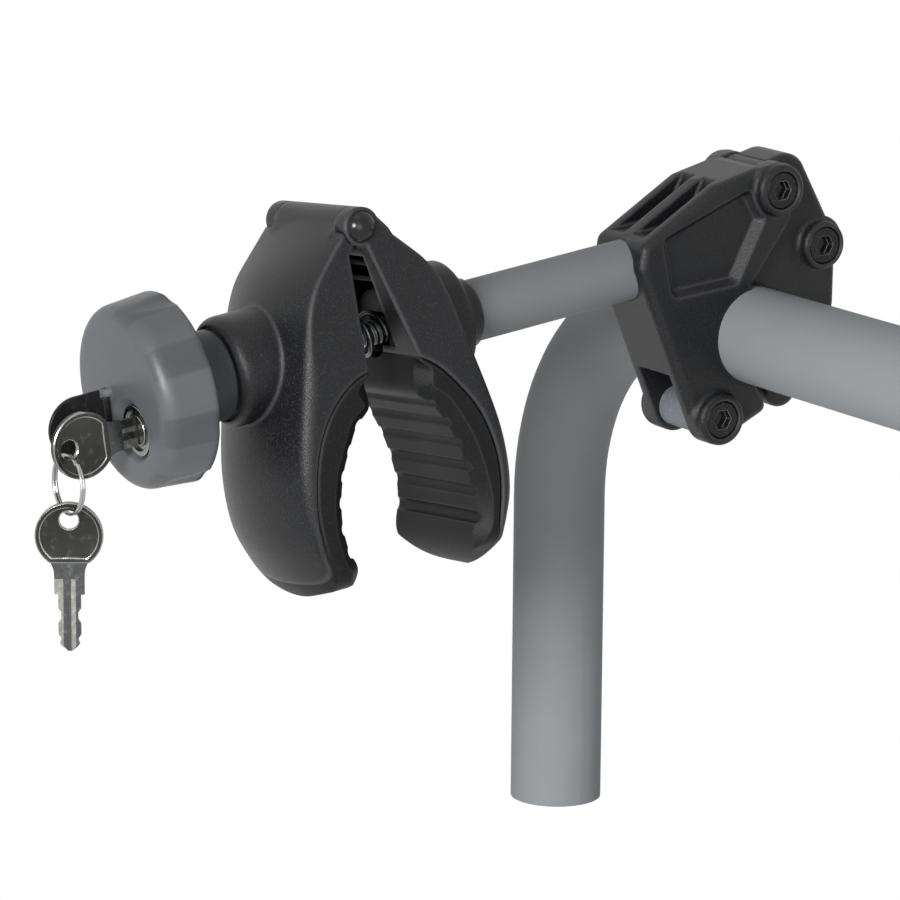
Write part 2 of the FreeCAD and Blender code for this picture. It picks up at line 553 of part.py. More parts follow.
# Draw bolt in its trunnion nut, with the spring that parts the jaws round it
trunnion = rod(trunnion_r, (-trunnion_w, -trunnion_u, 0), (trunnion_w, -trunnion_u, 0))
trunnion = trunnion.cut(rod(bolt_r + 0.01, (0, -trunnion_u - 20, 0), (0, -trunnion_u + 4.5, 0)))
bolt_at = jaw_at.multiply(FreeCAD.Placement(V(0, 0, bolt_z), FreeCAD.Rotation()))
save("trunnion_nut", trunnion, bolt_at)
bolt_tip = -56.6
bolt = rod(bolt_r, (0, bolt_tip, 0), (0, -trunnion_u + 4.4, 0))
bolt = soften(bolt, 0.8, lambda e: e.BoundBox.YLength < 0.01 and e.BoundBox.YMin < bolt_tip + 1)
save("draw_bolt", bolt, bolt_at)


def spring_point(t):
    a = 2 * math.pi * t
    y = spring_y0 + (spring_y1 - spring_y0) * t / spring_turns
    return V(spring_r * math.cos(a), y, spring_r * math.sin(a))


def spring_way(t):
    a = 2 * math.pi * t
    rise = (spring_y1 - spring_y0) / spring_turns / (2 * math.pi)
    return V(-spring_r * math.sin(a), rise, spring_r * math.cos(a)).normalize()


# the arc that leaves p towards the corner q and ends at m, as far from q as p is
def bend(p, q, m):
    chord = (p + m) * 0.5
    half = (m - p).Length / 2
    sag = half * math.tan(math.acos(half / (q - p).Length) / 2)
    return Part.Arc(p, chord + (q - chord).normalize() * sag, m).toShape()


straight = 2 * spring_wire
steps = int(spring_turns * 4)
path = [Part.makeLine(spring_point(0) - spring_way(0) * straight, spring_point(0))]
for i in range(steps):
    p, s = spring_point(i / 4), spring_way(i / 4)
    q, e = spring_point((i + 1) / 4), spring_way((i + 1) / 4)
    # equal legs: |q - p - leg * (s + e)| = 2 * leg
    gap, both = q - p, s + e
    a2, b2, c2 = both.dot(both) - 4, -2 * gap.dot(both), gap.dot(gap)
    leg = (-b2 - math.sqrt(b2 * b2 - 4 * a2 * c2)) / (2 * a2)
    middle = (p + s * leg + q - e * leg) * 0.5
    path.append(bend(p, p + s * leg, middle))
    path.append(bend(middle, q - e * leg, q))
end = spring_point(spring_turns)
path.append(Part.makeLine(end, end + spring_way(spring_turns) * straight))
first = path[0].Vertexes[0].Point
start = Part.Wire(Part.makeCircle(spring_wire, first, spring_way(0)))
spring = Part.BRepOffsetAPI.MakePipeShell(Part.Wire(path))
spring.add(start)
spring.build()
spring.makeSolid()
spring = spring.shape()
save("jaw_spring", spring, bolt_at)

# Thrust ring, tapered collar and the brass nut moulded into it
save("thrust_ring", ring(9.6, bolt_r + 0.4, (0, -seat_u - 1.0, bolt_z), (0, -44.3 - 0.3, bolt_z)), jaw_at)
collar = Part.makeCone(collar_r + 0.5, collar_r, knob_u0 - seat_u - 1.0, V(0, -knob_u0, 0), V(0, 1, 0))
collar = soften(collar, 0.5, lambda e: e.BoundBox.YLength < 0.01 and e.BoundBox.YMin > -seat_u - 1.1)
collar = collar.cut(rod(bolt_r + 0.4, (0, -70, 0), (0, -40, 0)))
collar = collar.cut(rod(7.6, (0, -56.0, 0), (0, -48.0, 0)))
save("knob_collar", collar, knob_at)
save("knob_nut", ring(7.58, bolt_r + 0.02, (0, -55.9, 0), (0, -48.1, 0)), knob_at)

# Knob: drum with eight shallow scoops, a rounded front edge and the lock off centre
knob = Part.makeCone(knob_r, knob_r - knob_taper, knob_u1 - knob_u0, V(0, -knob_u0, 0), V(0, -1, 0))
crown = Part.makeSphere(260.0, V(0, -knob_u1 - 0.9 + 260.0, 0))
knob = knob.fuse(rod(knob_r - knob_taper, (0, -knob_u1 + 0.1, 0), (0, -knob_u1 - 1.5, 0))).common(crown)
knob = soften(knob, 5.0, lambda e: e.BoundBox.YLength < 0.6 and e.BoundBox.YMax < -knob_u1 + 3
              and e.BoundBox.XLength > 50)
knob = soften(knob, 1.2, lambda e: e.BoundBox.YLength < 0.01 and e.BoundBox.YMin > -knob_u0 - 0.1
              and e.BoundBox.XLength > 50)
for i in range(lobes):
    a = 2 * math.pi * i / lobes - math.radians(13)
    reach = knob_r + scoop_r - scoop_depth
    knob = knob.cut(rod(scoop_r, (reach * math.cos(a), -knob_u0 + 3, reach * math.sin(a)),
                        (reach * math.cos(a), -knob_u1 - 9, reach * math.sin(a))))
knob = knob.cut(rod(bolt_r + 0.4, (0, -40, 0), (0, -74.4, 0)))
knob = knob.cut(rod(lock_r + 0.02, (lock_x, -62.6, lock_z), (lock_x, -90, lock_z)))
knob = knob.cut(rod(bezel_r + 0.02, (lock_x, -76.6, lock_z), (lock_x, -90, lock_z)))
rim_cut = Part.makeCone(bezel_r + 0.02, bezel_r + 3.4, 3.0, V(lock_x, -78.4, lock_z), V(0, -1, 0))
knob = knob.cut(rim_cut)
# two small ears carry the pin of the lock's dust flap
flap_x = -5.2
flap_y = -82.3
for z0, z1 in ((-16.8, -14.3), (0.9, 3.4)):
    ear = box(flap_x - 0.6, flap_x + 2.0, flap_y, -knob_u1 + 1.5, z0, z1)
    knob = knob.fuse(ear.fuse(rod(1.3, (flap_x + 0.7, flap_y, z0), (flap_x + 0.7, flap_y, z1))))
knob = knob.cut(rod(0.61, (flap_x + 0.7, flap_y, -18), (flap_x + 0.7, flap_y, 5)))
knob = merged(knob)
save("knob_body", knob, knob_at)

# Lock: plated housing with a bezel, the turning plug with its key slot, and the key
lock_face = -79.2
housing = rod(lock_r, (lock_x, -62.7, lock_z), (lock_x, -76.7, lock_z))
housing = housing.fuse(rod(bezel_r, (lock_x, -76.65, lock_z), (lock_x, lock_face, lock_z)))
housing = housing.cut(rod(4.9, (lock_x, -63.6, lock_z), (lock_x, -90, lock_z)))
housing = housing.cut(rod(6.4, (lock_x, -78.3, lock_z), (lock_x, -90, lock_z)))
save("lock_housing", housing, knob_at)
plug = rod(4.84, (lock_x, -63.7, lock_z), (lock_x, lock_face + 0.3, lock_z))
plug = plug.cut(box(lock_x - key_t / 2 - 0.1, lock_x + key_t / 2 + 0.1, -90, -64.2, lock_z - 3.7, lock_z + 3.7))
save("lock_plug", plug, knob_at)


# Key in its own plane: round head, square shoulders, blade with bitting and two grooves
def key():
    neck = 6.2
    flank = math.sqrt(key_r ** 2 - neck ** 2)
    half = [(neck, flank), (9.3, 6.2), (11.6, 4.65), (18.4, 4.65), (18.4, 3.5), (23.4, 3.5), (24.6, 2.5),
            (26.4, 2.5), (27.8, 3.4), (31.0, 3.4), (32.2, 2.6), (33.3, 0.0)]
    at = lambda a, b: V(-key_t / 2, a, b)
    line = [at(a, b) for a, b in half] + [at(a, -b) for a, b in reversed(half[:-1])]
    edges = [Part.makeLine(p, q) for p, q in zip(line, line[1:])]
    edges.append(Part.Arc(line[-1], at(-key_r, 0), line[0]).toShape())
    shape = Part.Face(Part.Wire(edges)).extrude(V(key_t, 0, 0))
    shape = shape.cut(Part.makeCylinder(2.9, 9, V(-4, -5.0, 0), V(1, 0, 0)))
    shape = shape.cut(box(key_t / 2 - 0.6, 3, 13.4, 31.0, -0.4, 1.2))
    return shape.cut(box(-3, -key_t / 2 + 0.6, 13.4, 31.0, -2.6, -1.4))


key_y = lock_face - 0.1 - 18.4
key_place = knob_at.multiply(FreeCAD.Placement(V(lock_x, key_y, lock_z), FreeCAD.Rotation()))
save("lock_key", key(), key_place)

# Dust flap of the lock, swung open beside the key, and its pin
flap_edge = flap_y - 1.9
flap = [Part.makeLine(V(flap_x, flap_edge, -16.8), V(flap_x, flap_edge, 3.4)),
        Part.makeLine(V(flap_x, flap_edge, 3.4), V(flap_x, flap_edge - 8.6, 3.4)),
        Part.Arc(V(flap_x, flap_edge - 8.6, 3.4), V(flap_x, flap_edge - 18.7, -6.7),
                 V(flap_x, flap_edge - 8.6, -16.8)).toShape(),
        Part.makeLine(V(flap_x, flap_edge - 8.6, -16.8), V(flap_x, flap_edge, -16.8))]
flap = Part.Face(Part.Wire(flap)).extrude(V(1.4, 0, 0))
flap = soften(flap, 0.4, lambda e: e.BoundBox.XLength < 0.01)
flap = flap.fuse(box(flap_x, flap_x + 1.4, flap_edge - 0.5, flap_y, -14.0, 0.6))
flap = flap.fuse(rod(1.3, (flap_x + 0.7, flap_y, -14.0), (flap_x + 0.7, flap_y, 0.6)))
flap = flap.cut(rod(0.66, (flap_x + 0.7, flap_y, -20), (flap_x + 0.7, flap_y, 8)))
save("lock_flap", merged(flap), knob_at)
save("flap_pin", rod(0.6, (flap_x + 0.7, flap_y, -16.8), (flap_x + 0.7, flap_y, 3.4)), knob_at)

# Split ring through the key's head and the spare key hanging from it, both plumb
hole = key_place.multVec(V(0, -5.0, 0))
wire_top = hole + V(0, 0, -2.9 + ring_wire + 0.25)
ring_centre = wire_top + V(0, 0, -ring_r)
torus = Part.makeTorus(ring_r, ring_wire, ring_centre, V(0, 1, 0))
save("split_ring", torus)
hang = ring_centre + V(0, 0, -ring_r + ring_wire + 0.25)
spare_hole = hang + V(0, 0, -2.9)
spare_turn = 58.1
spare_at = FreeCAD.Placement(spare_hole, FreeCAD.Rotation(V(0, 0, 1), spare_turn - 90).multiply(
    FreeCAD.Rotation(V(1, 0, 0), -90)))
spare = key()
spare.translate(V(0, 5.0, 0))
save("spare_key", spare, spare_at)
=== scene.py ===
import json
import math
import bmesh
import bpy
from mathutils import Matrix, Vector


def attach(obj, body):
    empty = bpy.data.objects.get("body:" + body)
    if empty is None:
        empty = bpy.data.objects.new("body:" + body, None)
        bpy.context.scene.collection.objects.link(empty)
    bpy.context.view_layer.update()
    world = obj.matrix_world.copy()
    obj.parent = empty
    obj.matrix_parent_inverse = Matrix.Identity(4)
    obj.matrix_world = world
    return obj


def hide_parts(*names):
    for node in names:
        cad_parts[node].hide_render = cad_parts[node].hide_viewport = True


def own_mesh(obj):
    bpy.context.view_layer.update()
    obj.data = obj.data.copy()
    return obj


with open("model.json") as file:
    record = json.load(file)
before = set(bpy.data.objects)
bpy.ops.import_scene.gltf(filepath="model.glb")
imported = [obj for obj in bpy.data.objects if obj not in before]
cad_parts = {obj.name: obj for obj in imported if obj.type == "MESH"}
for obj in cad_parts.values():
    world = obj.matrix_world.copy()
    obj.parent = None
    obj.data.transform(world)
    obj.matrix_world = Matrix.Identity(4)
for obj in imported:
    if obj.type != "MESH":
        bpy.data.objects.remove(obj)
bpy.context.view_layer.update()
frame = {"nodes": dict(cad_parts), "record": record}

# Hoop: 32 mm steel tube, bent once and powder coated in satin grey. The coat has a faint
# orange peel and pools a little lighter and darker over a few centimetres.


# a new node group with named sockets, and its way in and out
def group(name, inputs, outputs):
    made = bpy.data.node_groups.new(name, "ShaderNodeTree")
    for label, kind, value in inputs:
        socket = made.interface.new_socket(label, in_out="INPUT", socket_type=kind)
        socket.default_value = value
    for label, kind in outputs:
        made.interface.new_socket(label, in_out="OUTPUT", socket_type=kind)
    return made, made.nodes.new("NodeGroupInput"), made.nodes.new("NodeGroupOutput")


def noise(tree, coords, scale, detail):
    node = tree.nodes.new("ShaderNodeTexNoise")
    node.inputs["Detail"].default_value = detail
    tree.links.new(coords, node.inputs["Vector"])
    feed(tree, scale, node.inputs["Scale"])
    return node.outputs["Fac"]


# what runs from low to high comes out running from to_low to to_high
def spread(tree, value, low, high, to_low=0.0, to_high=1.0):
    node = tree.nodes.new("ShaderNodeMapRange")
    limits = {"From Min": low, "From Max": high, "To Min": to_low, "To Max": to_high}
    for label, limit in limits.items():
        node.inputs[label].default_value = limit
    tree.links.new(value, node.inputs["Value"])
    return node.outputs["Result"]


# a socket takes another socket's link, a colour or a number
def feed(tree, value, socket):
    if isinstance(value, bpy.types.NodeSocket):
        tree.links.new(value, socket)
    elif isinstance(value, tuple) and len(value) == 3 and socket.type == "RGBA":
        socket.default_value = (*value, 1)
    else:
        socket.default_value = value


def mix(tree, factor, a, b):
    node = tree.nodes.new("ShaderNodeMix")
    node.data_type = "RGBA"
    for value, label in ((factor, "Factor_Float"), (a, "A_Color"), (b, "B_Color")):
        feed(tree, value, next(s for s in node.inputs if s.identifier == label))
    return next(s for s in node.outputs if s.identifier == "Result_Color")


def maths(tree, what, *values):
    node = tree.nodes.new("ShaderNodeMath")
    node.operation = what
    for value, socket in zip(values, node.inputs):
        feed(tree, value, socket)
    return node.outputs[0]


def vectors(tree, what, *values):
    node = tree.nodes.new("ShaderNodeVectorMath")
    node.operation = what
    for value, socket in zip(values, node.inputs):
        feed(tree, value, socket)
    return node.outputs["Value" if what == "DOT_PRODUCT" else "Vector"]


# colour patches, grain and fine relief that every coated or moulded skin shows
patch_scale = 26.0
noise_low, noise_high = 0.3, 0.7
speck_starts, speck_full = 0.56, 0.74
skin, enter, leave = group(
    "grained_skin",
    [("Dark", "NodeSocketColor", (0.1, 0.1, 0.1, 1)), ("Light", "NodeSocketColor", (0.2, 0.2, 0.2, 1)),
     ("Speck", "NodeSocketColor", (0.3, 0.3, 0.3, 1)), ("Specks", "NodeSocketFloat", 0.0),
     ("Grain Scale", "NodeSocketFloat", 1500.0), ("Rough Low", "NodeSocketFloat", 0.4),
     ("Rough High", "NodeSocketFloat", 0.6)],
    [("Color", "NodeSocketColor"), ("Roughness", "NodeSocketFloat"), ("Height", "NodeSocketFloat")])
place = skin.nodes.new("ShaderNodeTexCoord").outputs["Object"]
patches = spread(skin, noise(skin, place, patch_scale, 3.0), noise_low, noise_high)
grain = noise(skin, place, enter.outputs["Grain Scale"], 2.0)
base = mix(skin, patches, enter.outputs["Dark"], enter.outputs["Light"])
specked = spread(skin, grain, speck_starts, speck_full)
dots = maths(skin, "MULTIPLY", specked, enter.outputs["Specks"])
feed(skin, mix(skin, dots, base, enter.outputs["Speck"]), leave.inputs["Color"])
rough_span = maths(skin, "SUBTRACT", enter.outputs["Rough High"], enter.outputs["Rough Low"])
rough = maths(skin, "MULTIPLY_ADD", spread(skin, grain, noise_low, noise_high), rough_span,
              enter.outputs["Rough Low"])
feed(skin, rough, leave.inputs["Roughness"])
feed(skin, grain, leave.inputs["Height"])

# the small round that a mould or a tool leaves on every edge: its normal, and how far it bends
bend_seen, bend_full = 0.01, 0.16
edges, enter, leave = group("rounded_edge", [("Radius", "NodeSocketFloat", 0.001)],
                            [("Normal", "NodeSocketVector"), ("Edge", "NodeSocketFloat")])
bevel = edges.nodes.new("ShaderNodeBevel")
bevel.samples = 6
feed(edges, enter.outputs["Radius"], bevel.inputs["Radius"])
true_normal = edges.nodes.new("ShaderNodeNewGeometry").outputs["Normal"]
agreement = vectors(edges, "DOT_PRODUCT", bevel.outputs["Normal"], true_normal)
bent = maths(edges, "SUBTRACT", 1.0, agreement)
feed(edges, bevel.outputs["Normal"], leave.inputs["Normal"])
feed(edges, spread(edges, bent, bend_seen, bend_full), leave.inputs["Edge"])

# how deep the grain is, and how dark painted shade is beside the skin's own dark
grain_depth = 0.0004
painted_shade_factor = 0.8


# A skin goes from dark to light in patches, with specks on its grain. The bump is the strength
# of the grain's relief, the edge is the radius of the rounded edges, which are painted lighter,
# partly as wear and partly as a painted highlight, and the sheen is the strength of the reflection.
def skinned(name, dark, light, speck, specks, grain, roughness, bump, edge, edge_wear_and_highlight=0.0, sheen=0.5,
            metallic=0.0, relief=None, painted_shade=None):
    made = bpy.data.materials.new(name)
    made.use_nodes = True
    tree = made.node_tree
    shader = tree.nodes["Principled BSDF"]
    look = tree.nodes.new("ShaderNodeGroup")
    look.node_tree = skin
    values = {"Dark": dark, "Light": light, "Speck": speck, "Specks": specks, "Grain Scale": grain,
              "Rough Low": roughness[0], "Rough High": roughness[1]}
    for label, value in values.items():
        feed(tree, value, look.inputs[label])
    rounded = tree.nodes.new("ShaderNodeGroup")
    rounded.node_tree = edges
    rounded.inputs["Radius"].default_value = edge
    # the rounded edges are painted lighter towards the speck colour, partly as wear and partly as a
    # painted highlight
    worn_and_lit_edge = maths(tree, "MULTIPLY", rounded.outputs["Edge"], edge_wear_and_highlight)
    color = mix(tree, worn_and_lit_edge, look.outputs["Color"], speck)
    # painted shade darkens the skin where its mask says, towards a share of the skin's own dark
    if painted_shade:
        color = mix(tree, painted_shade(tree), color, tuple(painted_shade_factor * part for part in dark))
    feed(tree, color, shader.inputs["Base Color"])
    feed(tree, look.outputs["Roughness"], shader.inputs["Roughness"])
    normal = rounded.outputs["Normal"]
    reliefs = [(look.outputs["Height"], bump, grain_depth)]
    if relief:
        reliefs.append(relief(tree))
    for height, strength, depth in reliefs:
        raised = tree.nodes.new("ShaderNodeBump")
        raised.inputs["Strength"].default_value = strength
        raised.inputs["Distance"].default_value = depth
        feed(tree, height, raised.inputs["Height"])
        feed(tree, normal, raised.inputs["Normal"])
        normal = raised.outputs["Normal"]
    feed(tree, normal, shader.inputs["Normal"])
    shader.inputs["Specular IOR Level"].default_value = sheen
    shader.inputs["Metallic"].default_value = metallic
    return made


nodes = frame["nodes"]


def finish(names, paint):
    for name in names:
        mesh = nodes[name].data
        mesh.materials.clear()
        mesh.materials.append(paint)


powder_grey = skinned("powder_grey", dark=(0.222, 0.233, 0.243), light=(0.242, 0.253, 0.264),
                      speck=(0.30, 0.31, 0.32), specks=0.15, grain=1400.0, roughness=(0.56, 0.66),
                      bump=0.10, edge=0.0003, edge_wear_and_highlight=0.2, sheen=0.25)
finish(["hoop_tube"], powder_grey)

# Frame clamp: two halves moulded in black glass-filled nylon with a spark-eroded grain. The
# ribbed body holds the arm, and the strap swings on its upper screw and closes round the
# crossbar.
black_nylon = skinned("black_nylon", dark=(0.0052, 0.0055, 0.0062),
                      light=(0.0090, 0.0094, 0.0104), speck=(0.08, 0.08, 0.085), specks=0.30,
                      grain=2000.0, roughness=(0.32, 0.44), bump=0.35, edge=0.0020, edge_wear_and_highlight=0.55,
                      sheen=0.27)
finish(["clamp_body", "clamp_strap"], black_nylon)

# Screws and nuts of the clamp: blackened M8 cap screws through both halves, and zinc-plated
# hexagon nuts in pockets on the far side. The cross pin in the inner jaw is plated like them,
# and here only its nut is given the zinc.
black_oxide = skinned("black_oxide", dark=(0.0040, 0.0040, 0.0043),
                      light=(0.0070, 0.0070, 0.0074), speck=(0.20, 0.20, 0.205), specks=0.1,
                      grain=900.0, roughness=(0.10, 0.18), bump=0.05, edge=0.0005, edge_wear_and_highlight=0.7,
                      sheen=0.25)
finish(["hinge_screw", "spacer_screw", "strap_screw"], black_oxide)
zinc = skinned("zinc", dark=(0.30, 0.31, 0.32), light=(0.42, 0.43, 0.44), speck=(0.6, 0.6, 0.6),
               specks=0.3, grain=900.0, roughness=(0.35, 0.55), bump=0.1, edge=0.0003, edge_wear_and_highlight=0.3,
               metallic=0.9)
finish(["hinge_nut", "spacer_nut", "strap_nut", "trunnion_nut"], zinc)

# Spacer barrel: a turned and zinc-plated steel tube, dulled grey, which one of the screws
# holds between the lower ears of the clamp
spacer_grey = skinned("spacer_grey", dark=(0.13, 0.145, 0.160), light=(0.17, 0.182, 0.195),
                      speck=(0.4, 0.4, 0.4), specks=0.3, grain=900.0, roughness=(0.4, 0.6),
                      bump=0.15, edge=0.0003, sheen=0.3)
finish(["spacer_barrel"], spacer_grey)

# Arm: 20 mm steel tube, powder coated a shade darker than the hoop, with a plug in its end
# and the glossy black sleeve that the jaws turn on
arm_grey = skinned("arm_grey", dark=(0.150, 0.158, 0.166), light=(0.168, 0.176, 0.185),
                   speck=(0.24, 0.25, 0.26), specks=0.15, grain=1400.0, roughness=(0.50, 0.60),
                   bump=0.10, edge=0.0003, edge_wear_and_highlight=0.2, sheen=0.25)
finish(["arm_tube"], arm_grey)
gloss_black = skinned("gloss_black", dark=(0.0060, 0.0062, 0.0068),
                      light=(0.0085, 0.0088, 0.0095), speck=(0.10, 0.10, 0.105), specks=0.1,
                      grain=900.0, roughness=(0.16, 0.24), bump=0.03, edge=0.0008, edge_wear_and_highlight=0.3,
                      sheen=0.3)
finish(["arm_plug", "arm_sleeve"], gloss_black)

# Jaws: two domed shells moulded in the clamp's nylon, with ribs inside. The inner one sits on
# the arm, and the outer one swings against it.
jaw_nylon = skinned("jaw_nylon", dark=(0.0055, 0.0058, 0.0066), light=(0.0095, 0.0099, 0.0110),
                    speck=(0.09, 0.09, 0.095), specks=0.30, grain=2000.0, roughness=(0.32, 0.44),
                    bump=0.35, edge=0.0026, edge_wear_and_highlight=0.55, sheen=0.27)
finish(["inner_jaw", "outer_jaw"], jaw_nylon)

# Liners: toothed pads moulded in soft black rubber, one in the mouth of each jaw, duller than
# the nylon round them
soft_black = skinned("soft_black", dark=(0.0060, 0.0062, 0.0066), light=(0.0085, 0.0088, 0.0092),
                     speck=(0.06, 0.06, 0.062), specks=0.2, grain=1800.0, roughness=(0.40, 0.52),
                     bump=0.2, edge=0.0014, edge_wear_and_highlight=0.6, sheen=0.13)
finish(["outer_liner", "inner_liner"], soft_black)

# Hinge pin of the jaws: turned steel with a domed head, lacquered black. It runs through both
# jaws at the top, and a push-on cap at its far end keeps it there.
finish(["hinge_pin", "pin_cap"], gloss_black)

# Draw bolt: zinc-plated steel with a two-start thread of 4 mm lead rolled over its whole
# length. It tilts with the cross pin in the inner jaw, and the knob runs along it.
joints = {joint["name"]: joint for joint in frame["record"]["behaviour"]["joints"]}
back = -Vector(joints["knob_travel"]["axis"])
side = Vector((1, 0, 0))
lift = side.cross(back)
# what sits on the bolt is measured from a point on it, this far out from the cross pin
foot_to_cross_pin = 0.024
bolt_foot = Vector(joints["bolt_tilt"]["pos_m"]) - foot_to_cross_pin * back
thread_starts, thread_lead, thread_depth = 2, 0.004, 0.0006


def thread(tree):
    point = tree.nodes.new("ShaderNodeTexCoord").outputs["Object"]
    out = vectors(tree, "SUBTRACT", point, tuple(bolt_foot))
    along = vectors(tree, "DOT_PRODUCT", out, tuple(back))
    turn = maths(tree, "ARCTAN2", vectors(tree, "DOT_PRODUCT", out, tuple(lift)),
                 vectors(tree, "DOT_PRODUCT", out, tuple(side)))
    turned = maths(tree, "MULTIPLY", turn, float(thread_starts))
    phase = maths(tree, "MULTIPLY_ADD", along, thread_starts * 2 * math.pi / thread_lead, turned)
    return maths(tree, "SINE", phase), 1.0, thread_depth


threaded_zinc = skinned("threaded_zinc", dark=(0.30, 0.31, 0.32), light=(0.42, 0.43, 0.44),
                        speck=(0.6, 0.6, 0.6), specks=0.3, grain=900.0, roughness=(0.30, 0.45),
                        bump=0.1, edge=0.0003, metallic=0.9, relief=thread)
finish(["draw_bolt"], threaded_zinc)

# Spring round the draw bolt: 1.6 mm wire coiled in six and a half turns, which pushes the jaws
# apart and shortens as they close. It is drawn here as one tube.


# a round tube along a line of points, its rings carried on without a twist
def wire(name, points, radius, paint, sides=8):
    made = bmesh.new()
    rings = []
    turned = (points[1] - points[0]).orthogonal().normalized()
    for i, point in enumerate(points):
        along = (points[min(i + 1, len(points) - 1)] - points[max(i - 1, 0)]).normalized()
        turned = (turned - turned.dot(along) * along).normalized()
        other = along.cross(turned)
        angles = [2 * math.pi * k / sides for k in range(sides)]
        rings.append([made.verts.new(point + radius * (math.cos(a) * turned + math.sin(a) * other))
                      for a in angles])
    for near, far in zip(rings, rings[1:]):
        for k in range(sides):
            made.faces.new((near[k - 1], near[k], far[k], far[k - 1]))
    made.faces.new(rings[0])
    made.faces.new(rings[-1][::-1])
    return piece(name, made, [paint])


def piece(name, made, paints):
    bmesh.ops.recalc_face_normals(made, faces=made.faces)
    mesh = bpy.data.meshes.new(name)
    made.to_mesh(mesh)
    made.free()
    for paint in paints:
        mesh.materials.append(paint)
    built = bpy.data.objects.new(name, mesh)
    bpy.context.scene.collection.objects.link(built)
    return built


def smooth(built, angle):
    for polygon in built.data.polygons:
        polygon.use_smooth = True
    built.data.set_sharp_from_angle(angle=math.radians(angle))


spring_steel = skinned("spring_steel", dark=(0.10, 0.10, 0.105), light=(0.16, 0.16, 0.165),
                       speck=(0.4, 0.4, 0.4), specks=0.3, grain=900.0, roughness=(0.25, 0.4),
                       bump=0.05, edge=0.0002, metallic=0.9)
spring_radius, spring_wire_radius, spring_turns = 0.0067, 0.0008, 6.5
spring_from, spring_to = 0.0127, -0.0290
turn_steps = 28
coil = []
for i in range(int(spring_turns * turn_steps) + 1):
    t = i / (spring_turns * turn_steps)
    a = 2 * math.pi * spring_turns * t
    along = spring_from + (spring_to - spring_from) * t
    coil.append(bolt_foot + along * back + spring_radius * (math.cos(a) * side + math.sin(a) * lift))
spring = wire("spring_wire", coil, spring_wire_radius, spring_steel)
smooth(spring, 60)
bodies = frame["record"]["behaviour"]["bodies"]
home = {node: body for body, held in bodies.items() for node in held}
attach(spring, home["jaw_spring"])
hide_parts("jaw_spring")
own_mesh(spring)

# Collar of the knob: tapered, moulded in dark grey nylon round a brass nut that runs on the
# bolt. It turns in the outer jaw's cup, where it presses on a black thrust ring.
finish(["thrust_ring"], soft_black)
collar_grey = skinned("collar_grey", dark=(0.040, 0.042, 0.046), light=(0.048, 0.050, 0.054),
                      speck=(0.12, 0.12, 0.13), specks=0.2, grain=1200.0, roughness=(0.36, 0.46),
                      bump=0.06, edge=0.0008, edge_wear_and_highlight=0.2, sheen=0.22)
finish(["knob_collar"], collar_grey)
brass = skinned("brass", dark=(0.55, 0.38, 0.13), light=(0.66, 0.47, 0.18), speck=(0.8, 0.6, 0.3),
                specks=0.2, grain=900.0, roughness=(0.25, 0.4), bump=0.05, edge=0.0003,
                metallic=1.0)
finish(["knob_nut"], brass)

# Knob: a drum moulded in grey nylon with eight scooped grips, satin from the mould. It is
# fixed on the collar and carries the lock in its dished face.
knob_lobes, first_lobe = 8, math.radians(-13)
scoop_starts, scoop_full = 0.05, 0.30
rim_starts, rim_full = 0.0255, 0.0275


# painted shade in each scoop, found by its angle round the drum's axis
def scoop_shade(tree):
    point = tree.nodes.new("ShaderNodeTexCoord").outputs["Object"]
    out = vectors(tree, "SUBTRACT", point, tuple(bolt_foot))
    x, z = (vectors(tree, "DOT_PRODUCT", out, tuple(way)) for way in (side, lift))
    radius = maths(tree, "SQRT", maths(tree, "MULTIPLY_ADD", x, x, maths(tree, "MULTIPLY", z, z)))
    turn = maths(tree, "SUBTRACT", maths(tree, "ARCTAN2", z, x), first_lobe)
    near = maths(tree, "COSINE", maths(tree, "MULTIPLY", turn, float(knob_lobes)))
    scooped = spread(tree, near, scoop_starts, scoop_full)
    return maths(tree, "MULTIPLY", scooped, spread(tree, radius, rim_starts, rim_full))


# the knob's scoops get painted shade
knob_grey = skinned("knob_grey", dark=(0.076, 0.079, 0.086), light=(0.086, 0.089, 0.096),
                    speck=(0.22, 0.225, 0.235), specks=0.06, grain=1200.0, roughness=(0.34, 0.44),
                    bump=0.06, edge=0.0030, edge_wear_and_highlight=0.35, sheen=0.42, painted_shade=scoop_shade)
finish(["knob_body"], knob_grey)

# Lock: a die-cast and nickel-plated housing pressed into the knob's dished face, and the plug
# in it that the key turns
lock_nickel = skinned("lock_nickel", dark=(0.20, 0.20, 0.195), light=(0.30, 0.295, 0.285),
                      speck=(0.7, 0.7, 0.68), specks=0.3, grain=700.0, roughness=(0.16, 0.30),
                      bump=0.05, edge=0.0005, edge_wear_and_highlight=0.7, metallic=1.0)
finish(["lock_housing", "lock_plug"], lock_nickel)

# Keys: two nickel-plated steel blanks, each a round head with a coined rim and a flat neck,
# and a blade milled along both faces and notched along both edges
# The nickel is painted in shaded and lit copies: dark as a painted reflection on the head's field and
# on the flat faces of the neck and blade, and light as a painted highlight on the head's broken edges,
# the slopes of its rim and its hole.
key_dark_reflection = skinned("key_dark_reflection", dark=(0.026, 0.026, 0.024), light=(0.070, 0.070, 0.066),
                   speck=(0.30, 0.30, 0.28), specks=0.15, grain=420.0, roughness=(0.12, 0.22),
                   bump=0.05, edge=0.0002, edge_wear_and_highlight=0.5, metallic=1.0)
key_rim_highlight = skinned("key_rim_highlight", dark=(0.20, 0.20, 0.19), light=(0.42, 0.42, 0.40),
                  speck=(0.8, 0.8, 0.78), specks=0.3, grain=700.0, roughness=(0.16, 0.30),
                  bump=0.05, edge=0.0002, edge_wear_and_highlight=0.4, metallic=1.0)
